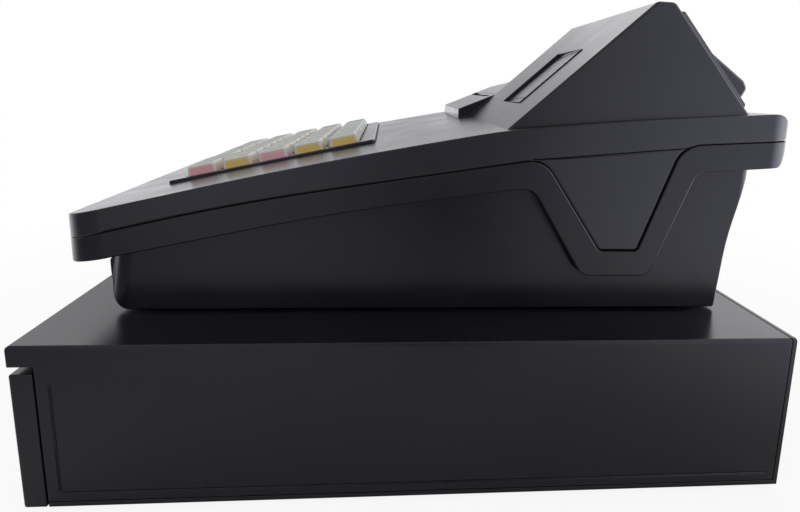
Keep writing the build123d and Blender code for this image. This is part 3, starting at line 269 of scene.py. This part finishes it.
surfaceLooks = {
    "case_plastic": caseLook,
    "cabinet_paint": paintLook,
    "tray_paint": {**paintLook, "roughness": (0.34, 0.44)},
    "panel_plastic": {**caseLook, "colour": (0.02, 0.02, 0.024),
                      "patchColour": (0.024, 0.024, 0.029), "roughness": (0.26, 0.34),
                      "bump": 0.1},
    "plate_plastic": {**caseLook, "bump": 0.1, "wearAndHighlight": 0.1},
    "insert_plastic": {**caseLook, "roughness": (0.42, 0.52), "bump": 0.35, "wearAndHighlight": 0.8},
    "clip_plastic": {**caseLook, "roughness": (0.2, 0.3), "bump": 0.1},
    "mechanism_plastic": {**caseLook, "colour": (0.02, 0.02, 0.02), "bump": 0.15},
    "socket_plastic": {**caseLook, "colour": (0.008, 0.008, 0.008),
                       "patchColour": (0.01, 0.01, 0.01), "roughness": (0.25, 0.35)},
    "foot_rubber": {**caseLook, "colour": (0.012, 0.012, 0.012),
                    "patchColour": (0.02, 0.02, 0.02), "roughness": (0.75, 0.9), "bump": 0.5},
    "platen_rubber": {**caseLook, "colour": (0.02, 0.02, 0.02),
                      "patchColour": (0.03, 0.03, 0.03), "roughness": (0.6, 0.75), "bump": 0.3},
    "roller_nylon": {**caseLook, "colour": (0.72, 0.72, 0.68), "patchColour": (0.66, 0.66, 0.6),
                     "wornAndHighlightColour": (0.5, 0.5, 0.48)},
    "mat_silicone": {**caseLook, "colour": (0.5, 0.5, 0.48), "patchColour": (0.46, 0.46, 0.44),
                     "wornAndHighlightColour": (0.4, 0.4, 0.4), "roughness": (0.55, 0.7)},
    "circuit_board": {**caseLook, "colour": (0.01, 0.09, 0.04), "patchColour": (0.012, 0.12, 0.05),
                      "wornAndHighlightColour": (0.1, 0.25, 0.12), "roughness": (0.25, 0.4)},
    "paper": {**caseLook, "colour": (0.82, 0.81, 0.78), "patchColour": (0.86, 0.85, 0.82),
              "wornAndHighlightColour": (0.7, 0.69, 0.66), "roughness": (0.8, 0.95), "dust": 0.0},
    "key_pink": {**caseLook, "colour": (0.83, 0.4, 0.44), "patchColour": (0.86, 0.46, 0.5),
                 "wornAndHighlightColour": (0.85, 0.7, 0.7), "roughness": (0.4, 0.5), "bump": 0.05,
                 "layers": keyLayers},
    "key_amber": {**caseLook, "colour": (0.8, 0.56, 0.14), "patchColour": (0.82, 0.6, 0.19),
                  "wornAndHighlightColour": (0.8, 0.72, 0.5), "roughness": (0.4, 0.5), "bump": 0.05,
                  "layers": keyLayers},
    "key_pale": {**caseLook, "colour": (0.5, 0.56, 0.48), "patchColour": (0.54, 0.6, 0.52),
                 "wornAndHighlightColour": (0.7, 0.7, 0.7), "roughness": (0.4, 0.5), "bump": 0.05,
                 "layers": keyLayers},
    "zinc_steel": metalLook,
    "coil_steel": {**metalLook, "colour": (0.4, 0.4, 0.41), "roughness": (0.35, 0.5)},
    "lock_chrome": {**metalLook, "colour": (0.72, 0.72, 0.73), "roughness": (0.1, 0.18)},
    "smoked_plastic": {**caseLook, "colour": (0.006, 0.006, 0.007),
                       "patchColour": (0.008, 0.008, 0.009), "roughness": (0.06, 0.1),
                       "bump": 0.02},
    "display_glass": {**caseLook, "colour": (0.01, 0.012, 0.012),
                      "patchColour": (0.012, 0.014, 0.014), "roughness": (0.05, 0.08),
                      "bump": 0.02},
}
finishes = {slot: colouredSurface(slot.replace("_", " ").title().replace(" ", ""), look)
            for slot, look in surfaceLooks.items()}


paneLook = {"tint": (0.2, 0.21, 0.21), "seeThrough": 0.5, "ior": 1.49, "hazeCells": 300.0,
            "roughness": (0.24, 0.3), "grow": 0.2}        # mm


def smokedSurface(name, look):
    # half see-through moulding with fine haze in its gloss
    material, tree, shader, place = newFinish(name)
    shader.inputs["Base Color"].default_value = (*look["tint"], 1.0)
    shader.inputs["Transmission Weight"].default_value = look["seeThrough"]
    shader.inputs["IOR"].default_value = look["ior"]
    haze = noise(tree, place, look["hazeCells"], 4.0)
    tree.links.new(spread(tree, haze, 0.35, 0.7, *look["roughness"]), shader.inputs["Roughness"])
    return material


finishes["clear_pane"] = smokedSurface("ClearPane", paneLook)
print("finishes made:", len(finishes))


# every imported node gets its finish
# the lower case takes that darker copy, which is partly painted shade under the band
ownFinish = {"lower_case": colouredSurface("TubPlasticDullerAndShaded", tubDullerAndShadedLook)}
for name, piece in nodes.items():
    piece.data.materials.clear()
    piece.data.materials.append(ownFinish.get(name, finishes[slotOf[name]]))


# moulded and folded parts get real rounded edges on a merged copy
edgeRound = {               # mm
    "cabinet_cover": 0.4, "cabinet_base": 0.3, "drawer_front": 0.5, "lower_case": 0.6,
    "upper_case": 0.6, "printer_cover": 0.4, "rear_panel": 0.9, "customer_display": 0.6,
}
partingRound = {"upper_case": ("lower_case", 1.4)}    # mm, outer edge that faces the other part
plainEdges = {"lower_case": ["power_inlet", "power_switch"]}      # their cut-outs stay square
edgeLook = {"sharpFrom": 28.0, "flatWithin": 0.03,                # degrees
            "merge": 0.002, "meets": 0.08, "aroundCutOut": 5.0,   # mm
            "steps": 3}
# the front ends of the band and of the tub under it run a little forward of the solids
frontLook = {"parts": ("lower_case", "upper_case"),
             "bandForward": 2.2, "bandFades": 32.0, "tubForward": 4.0, "tubFades": 60.0,
             "tubTall": 30.0, "tubFoot": 12.0, "tubFlare": 9.0}       # mm


def standFor(piece, name):
    # the piece takes the node's place, on its body
    bpy.context.scene.collection.objects.link(piece)
    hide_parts(name)
    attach(piece, nodes[name]["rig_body"])


def readPlaces(mesh):
    places = np.empty(len(mesh.vertices) * 3)
    mesh.vertices.foreach_get("co", places)
    return places.reshape(-1, 3)


def edgeMiddle(edge):
    return (edge.verts[0].co + edge.verts[1].co) / 2


def partingShares(shape, other, width, widest):
    # outer edges that lie on the other part's surface get the wide rounding, the rest the usual
    surface = bmesh.new()
    surface.from_mesh(nodes[other].data)
    tree = BVHTree.FromBMesh(surface)
    surface.free()
    layer = shape.edges.layers.float["bevel_weight_edge"]
    for edge in shape.edges:
        if edge[layer] == 0.0:
            continue
        middle = edgeMiddle(edge)
        walls = [f.normal for f in edge.link_faces if abs(f.normal.z) < 0.5]
        outwards = any(n.x * middle.x + n.y * middle.y > 0.05 for n in walls)
        near = tree.find_nearest(middle)[3] < edgeLook["meets"] * mm
        edge[layer] = 1.0 if near and outwards else width / widest


def squareCutOuts(shape, fittings, room):
    # no rounding within that room of a fitting's box
    layer = shape.edges.layers.float["bevel_weight_edge"]
    for low, high in map(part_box, fittings):
        for edge in shape.edges:
            middle = edgeMiddle(edge)
            if all(low[i] - room < middle[i] < high[i] + room for i in range(3)):
                edge[layer] = 0.0


def shapeFront(shape, look):
    # y -= forward * smoothstep(distance behind the front edge), for the tub and the band apart
    places = np.array([v.co for v in shape.verts])
    x, y, z = places.T
    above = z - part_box("cabinet_cover")[1].z
    foot = above < look["tubFoot"] * mm
    inTub = np.zeros(len(places), bool)
    if foot.any():
        inTub = (above < look["tubTall"] * mm) & (abs(x) < abs(x[foot]).max() + 0.1 * mm)
        inTub &= y > y[foot].min() - look["tubFlare"] * mm
    for part, forward, fades in ((inTub, look["tubForward"], look["tubFades"]),
                                 (~inTub, look["bandForward"], look["bandFades"])):
        if part.any():
            near = np.clip(1 - (y - y[part].min()) / (fades * mm), 0, 1)
            y -= np.where(part, forward * mm * near ** 2 * (3 - 2 * near), 0)
    for vert, place in zip(shape.verts, places):
        vert.co = place


def finishedCopy(name, width):
    mesh = nodes[name].data.copy()
    shape = bmesh.new()
    shape.from_mesh(mesh)
    bmesh.ops.remove_doubles(shape, verts=shape.verts, dist=edgeLook["merge"] * mm)
    bmesh.ops.dissolve_limit(shape, angle_limit=math.radians(edgeLook["flatWithin"]),
                             verts=shape.verts, edges=shape.edges)
    layer = shape.edges.layers.float.new("bevel_weight_edge")
    if name in frontLook["parts"]:
        shapeFront(shape, frontLook)
    for face in shape.faces:
        face.smooth = True
    for edge in shape.edges:
        edge.smooth = edge.calc_face_angle(0.0) < math.radians(edgeLook["sharpFrom"])
        edge[layer] = 0.0 if edge.smooth else 1.0
    squareCutOuts(shape, plainEdges.get(name, []), edgeLook["aroundCutOut"] * mm)
    other, widest = partingRound.get(name, (None, width))
    if other:
        partingShares(shape, other, width, widest)
    shape.to_mesh(mesh)
    shape.free()
    piece = bpy.data.objects.new(name + "_finished", mesh)
    standFor(piece, name)
    bevel = piece.modifiers.new("edges", "BEVEL")
    bevel.width = widest * mm
    bevel.segments = edgeLook["steps"]
    bevel.limit_method = "WEIGHT"
    bevel.use_clamp_overlap = False
    bevel.harden_normals = True
    bevel.miter_outer = "MITER_ARC"
    weighted = piece.modifiers.new("normals", "WEIGHTED_NORMAL")
    weighted.weight = 100
    weighted.keep_sharp = True


def makePane(name, grow):
    # each of the pane's points moves out along its two long directions, to close the gap
    mesh = nodes[name].data.copy()
    places = readPlaces(mesh)
    middle = places.mean(0)
    axes = np.linalg.svd(places - middle, full_matrices=False)[2]
    local = (places - middle) @ axes.T
    local[:, :2] += np.sign(local[:, :2]) * grow * mm
    mesh.vertices.foreach_set("co", (local @ axes + middle).ravel())
    standFor(bpy.data.objects.new(name + "_set", mesh), name)


makePane("display_window", paneLook["grow"])
for name, width in edgeRound.items():
    finishedCopy(name, width)
print("rounded copies made:", len(edgeRound))


# keys: moulded caps with pale rims and pale crowns, carried round a rounded rectangle
keyLook = {"tall": 10.4, "wall": 1.4, "round": 0.9, "dish": 0.3, "corner": 1.3,
           "innerCorner": 0.6, "rimWide": 0.7, "rimDeep": 0.8,                   # mm
           "taper": 8.0, "smoothTo": 30.0,                                       # degrees
           "cornerSteps": 5, "paleEnds": 0.75, "stem": 0.28}                     # shares


def addLayer(mesh, name, values):
    layer = mesh.attributes.new(name, "FLOAT", "POINT")
    layer.data.foreach_set("value", np.ascontiguousarray(values, dtype=np.float32))


def carriedProfile(axes, middle, halfWide, halfDeep, profile, look):
    # point = middle + share of (corner centre + corner radius turned round it, plus one step
    # along each side) + height along the axis; rows are share, inset, corner radius, height
    share, inset, corner, height = profile.T[:, :, None]
    steps = look["cornerSteps"]
    turn = np.radians(np.concatenate([[0.0], np.linspace(0.0, 90.0, steps), [90.0]]))
    beside = np.concatenate([[-1.0], np.zeros(steps), [1.0]])
    turn = (np.arange(4)[:, None] * math.pi / 2 + turn[None, :]).ravel()
    beside = np.tile(beside, 4)
    quarter = np.repeat(np.arange(4), steps + 2)
    signX = np.array([1, -1, -1, 1])[quarter]
    signY = np.array([1, 1, -1, -1])[quarter]
    least = np.minimum(halfWide, halfDeep) - inset
    radius = np.minimum(corner, least)
    step = beside * np.minimum(look["rimWide"], 0.45 * (least - radius))
    across = signX * (halfWide - inset - radius) + radius * np.cos(turn) - step * np.sin(turn)
    along = signY * (halfDeep - inset - radius) + radius * np.sin(turn) + step * np.cos(turn)
    across, along = share * across, share * along
    local = np.stack([across, along, np.broadcast_to(height, across.shape)], axis=2)
    rows, around = across.shape
    points = middle + local.reshape(-1, 3) @ axes
    ends = middle + np.array([[0, 0, profile[0][3]], [0, 0, profile[-1][3]]]) @ axes
    points = np.vstack([points, ends]) * mm
    here = np.arange(rows - 1)[:, None] * around + np.arange(around)[None, :]
    nextTo = np.arange(rows - 1)[:, None] * around + (np.arange(around)[None, :] + 1) % around
    quads = np.stack([here, here + around, nextTo + around, nextTo], axis=2).reshape(-1, 4)
    first = np.arange(around)
    second = (first + 1) % around
    top = np.stack([np.full(around, rows * around), first, second], axis=1)
    last = (rows - 1) * around
    bottom = np.stack([np.full(around, rows * around + 1), last + second, last + first], axis=1)
    endSide = beside * np.where(quarter % 2 == 0, 1.0, -1.0) > 0.5    # ends face front and back
    pale = np.where(np.abs(beside) < 0.5, 1.0, np.where(endSide, look["paleEnds"], 0.0))
    return points, quads.tolist() + top.tolist() + bottom.tolist(), pale


def keyShape(name):
    # the key's own axes, its top centre, its half sizes at the foot and its lowest point, in mm
    out = -np.array(joints[name + "_press"]["axis"])
    axes = np.array([[1.0, 0.0, 0.0], np.cross(out, [1.0, 0.0, 0.0]), out])
    local = readPlaces(nodes[name].data) @ axes.T / mm
    low, high = local.min(0), local.max(0)
    middle = np.array([(low[0] + high[0]) / 2, (low[1] + high[1]) / 2, high[2]]) @ axes
    return axes, middle, (high - low)[:2] / 2, low[2] - high[2]


def keyRows(look, lowest):
    # from the crown's middle over the rim and down the side, then up inside and down the stem;
    # each row: share, inset, corner radius, height, then how pale the rim and the crown are
    tall, wall, edge, dish = (look[key] for key in ("tall", "wall", "round", "dish"))
    lean = tall * math.tan(math.radians(look["taper"]))
    corner, inner, stem = look["corner"], look["innerCorner"], look["stem"]
    under = edge + look["rimDeep"]
    rows = [(s, lean + edge, corner, -dish * (1 - s * s), 0.0, 1.0) for s in (0.25, 0.5, 0.75)]
    rows += [(0.9, lean + edge, corner, -dish * 0.19, 0.2, 1.0),
             (1.0, lean + edge, corner, 0.0, 1.0, 0.6)]
    rows += [(1.0, lean + edge * (1 - math.sin(a)) - edge * (1 - math.cos(a)) * 0.14, corner,
              -edge * (1 - math.cos(a)), 1.0, 0.0) for a in np.radians([22.5, 45, 67.5, 90])]
    rows += [(1.0, lean * (1 - under / tall), corner, -under, 0.0, 0.0),
             (1.0, 0.0, corner, -tall, 0.0, 0.0), (1.0, wall, inner, -tall, 0.0, 0.0),
             (1.0, wall + lean, inner, -wall, 0.0, 0.0),
             (stem, wall + lean, inner, -wall, 0.0, 0.0),
             (stem - 0.02, wall + lean, inner, lowest, 0.0, 0.0)]
    return np.array(rows), lean + edge


def makeKey(name, look):
    axes, middle, (halfWide, halfDeep), lowest = keyShape(name)
    rows, topInset = keyRows(look, lowest)
    points, faces, pale = carriedProfile(axes, middle, halfWide, halfDeep, rows[:, :4], look)
    share, inset, corner, height, rimPale, crownPale = rows.T
    outside = (height > -look["tall"]) & (share == 1.0) & (inset <= topInset)
    rim = np.maximum(rimPale[:, None], outside[:, None] * pale[None, :])
    mesh = bpy.data.meshes.new(name + "_cap")
    mesh.from_pydata(points.tolist(), [], faces)
    mesh.materials.append(finishes[slotOf[name]])
    mesh.shade_smooth()
    mesh.set_sharp_from_angle(angle=math.radians(look["smoothTo"]))
    addLayer(mesh, "rim", np.append(rim.ravel(), [0.0, 0.0]))
    addLayer(mesh, "crown", np.append(np.repeat(crownPale, len(pale)), [1.0, 0.0]))
    standFor(bpy.data.objects.new(name + "_cap", mesh), name)


# plain figures printed on the ten number keys
figureLook = {"tall": 6.0, "proud": 0.05, "ink": (0.02, 0.03, 0.03)}     # mm


def makeFigure(name, look, finish):
    axes, middle, half, lowest = keyShape(name)
    curve = bpy.data.curves.new("figure", "FONT")
    curve.body = name[-1]
    curve.size = look["tall"]
    curve.resolution_u = 3
    holder = bpy.data.objects.new("figure", curve)
    mesh = bpy.data.meshes.new_from_object(holder)
    bpy.data.objects.remove(holder)
    flat = readPlaces(mesh)
    flat[:, :2] -= (flat[:, :2].min(0) + flat[:, :2].max(0)) / 2
    lean = keyLook["tall"] * math.tan(math.radians(keyLook["taper"])) + keyLook["round"]
    share = np.abs(flat[:, :2] / (half - lean)).max(1)         # follows the dished crown
    flat[:, 2] = look["proud"] - keyLook["dish"] * (1 - share * share)
    mesh.vertices.foreach_set("co", ((middle + flat @ axes) * mm).ravel())
    mesh.materials.clear()
    mesh.materials.append(finish)
    piece = bpy.data.objects.new(name + "_figure", mesh)
    bpy.context.scene.collection.objects.link(piece)
    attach(piece, nodes[name]["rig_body"])


keyNames = [name for name in nodes if name + "_press" in joints]
printInk = colouredSurface("PrintInk", {**caseLook, "colour": figureLook["ink"],
                                        "patchColour": figureLook["ink"], "bump": 0.02})
for name in keyNames:
    makeKey(name, keyLook)
    if name[-1].isdigit() and name[-2] == "_" and name.count("_") == 1:
        makeFigure(name, figureLook, printInk)
print("keys made:", len(keyNames))


# floor and lights: the studio is white beyond the register and dark, with paler stretches,
# on the near side; gloss shows those walls, and soft light is the same from all round
floorLook = {"half": 3.0, "colour": (0.9, 0.9, 0.9), "roughness": 0.9, "specular": 0.1,
             "shareNear": 0.9, "near": 0.35, "far": 0.7, "wallsFrom": 0.3, "wallsAll": 0.65}
worldLook = {"white": 1.0, "ambient": 0.62}
wallLook = {
    "far": [(0.0, 1.35), (0.04, 1.1), (0.12, 0.66), (0.3, 0.6)],      # direction's Z, strength
    "farTint": (1.0, 1.0, 1.04), "rearFrom": 0.02, "rearAll": 0.2, "rearGain": 0.6,
    "near": [(-1.0, 0.2), (-0.62, 0.3), (-0.35, 0.7), (-0.12, 0.62), (0.0, 0.36),
             (0.12, 0.2), (0.35, 0.95), (0.55, 1.6), (1.0, 4.0)],     # direction's Y, strength
    "nearTint": (0.95, 0.96, 1.14), "turnsFar": -0.2, "turnsNear": 0.2,
}
farBoxLook = {"place": (-1.5, 0.0, 1.5), "aim": (0.0, 0.0, 0.7), "size": (4.0, 1.6),   # metres
              "power": 14.0}


def addRamp(group, value, stops, tint):
    ramp = addNode(group, "ShaderNodeValToRGB", None, {0: spread(group, value, -1.0, 1.0)})
    ramp.color_ramp.interpolation = "EASE"
    marks = ramp.color_ramp.elements
    for index, (place, strength) in enumerate(stops):
        mark = marks[index] if index < 2 else marks.new(1.0)
        mark.position = (place + 1) / 2
        mark.color = (*(strength * t for t in tint), 1.0)
    return ramp.outputs["Color"]


def buildStudioWalls(look):
    group, given, result = newGroup("studioWalls", [("Direction", "NodeSocketVector", None)],
                                    ["Colour"])
    parts = addNode(group, "ShaderNodeSeparateXYZ", None, {0: given["Direction"]}).outputs
    nearWalls = addRamp(group, parts["Y"], look["near"], look["nearTint"])
    gain = spread(group, parts["Y"], look["rearFrom"], look["rearAll"],
                  1.0, 1.0 + look["rearGain"])
    farWalls = addNode(group, "ShaderNodeVectorMath", {"operation": "SCALE"}, {
        0: addRamp(group, parts["Z"], look["far"], look["farTint"]), "Scale": gain})
    nearShare = spread(group, parts["X"], look["turnsFar"], look["turnsNear"])
    group.links.new(mixColours(group, nearShare, farWalls.outputs["Vector"], nearWalls),
                    result["Colour"])
    return group


def placeWalls(tree, direction):
    return addNode(tree, "ShaderNodeGroup", {"node_tree": studioWalls},
                   {"Direction": direction}).outputs["Colour"]


studioWalls = buildStudioWalls(wallLook)


def seenRays(tree):
    path = addNode(tree, "ShaderNodeLightPath").outputs
    return path, combine(tree, "MAXIMUM", path["Is Camera Ray"], path["Is Transmission Ray"])


def makeFloor(look):
    half = look["half"]
    mesh = bpy.data.meshes.new("floor")
    mesh.from_pydata([(-half, -half, 0), (half, -half, 0), (half, half, 0), (-half, half, 0)],
                     [], [(0, 1, 2, 3)])
    piece = bpy.data.objects.new("floor", mesh)
    bpy.context.scene.collection.objects.link(piece)
    material, tree, shader, place = newFinish("Floor")
    shader.inputs["Base Color"].default_value = (*look["colour"], 1.0)
    shader.inputs["Roughness"].default_value = look["roughness"]
    shader.inputs["Specular IOR Level"].default_value = look["specular"]
    path, seen = seenRays(tree)
    away = addNode(tree, "ShaderNodeVectorMath", {"operation": "LENGTH"}, {0: place})
    away = away.outputs["Value"]
    heading = addNode(tree, "ShaderNodeVectorMath", {"operation": "NORMALIZE"}, {0: place})
    heading = heading.outputs["Vector"]
    white = spread(tree, away, look["near"], look["far"], look["shareNear"], 1.0)
    walls = spread(tree, away, look["wallsFrom"], look["wallsAll"])
    share = combine(tree, "MAXIMUM", combine(tree, "MULTIPLY", seen, white),
                    combine(tree, "MULTIPLY", path["Is Glossy Ray"], walls))
    shown = mixColours(tree, path["Is Glossy Ray"], (1.0, 1.0, 1.0), placeWalls(tree, heading))
    glow = addNode(tree, "ShaderNodeEmission", None, {"Color": shown})
    mix = addNode(tree, "ShaderNodeMixShader", None, {
        0: share, 1: shader.outputs[0], 2: glow.outputs[0]})
    tree.links.new(mix.outputs[0], tree.nodes["Material Output"].inputs["Surface"])
    mesh.materials.append(material)


def makeWorld(look):
    world = bpy.data.worlds.new("studio")
    world.use_nodes = True
    tree = world.node_tree
    tree.nodes.clear()
    path, seen = seenRays(tree)
    ray = addNode(tree, "ShaderNodeTexCoord").outputs["Generated"]
    lit = mixColours(tree, path["Is Glossy Ray"], (look["ambient"],) * 3, placeWalls(tree, ray))
    colour = mixColours(tree, seen, lit, (look["white"],) * 3)
    back = addNode(tree, "ShaderNodeBackground", None, {"Color": colour})
    end = addNode(tree, "ShaderNodeOutputWorld")
    tree.links.new(back.outputs[0], end.inputs["Surface"])
    bpy.context.scene.world = world


def makeSoftBox(name, look):
    data = bpy.data.lights.new(name, "AREA")
    data.shape = "RECTANGLE"
    data.size, data.size_y = look["size"]
    data.energy = look["power"]
    light = bpy.data.objects.new(name, data)
    bpy.context.scene.collection.objects.link(light)
    place, aim = Vector(look["place"]), Vector(look["aim"])
    light.matrix_world = Matrix.Translation(place) @ (aim - place).to_track_quat(
        "-Z", "Y").to_matrix().to_4x4()


makeFloor(floorLook)
makeWorld(worldLook)
makeSoftBox("farBox", farBoxLook)
bpy.context.scene.view_settings.view_transform = "Standard"
print("floor and lights placed")
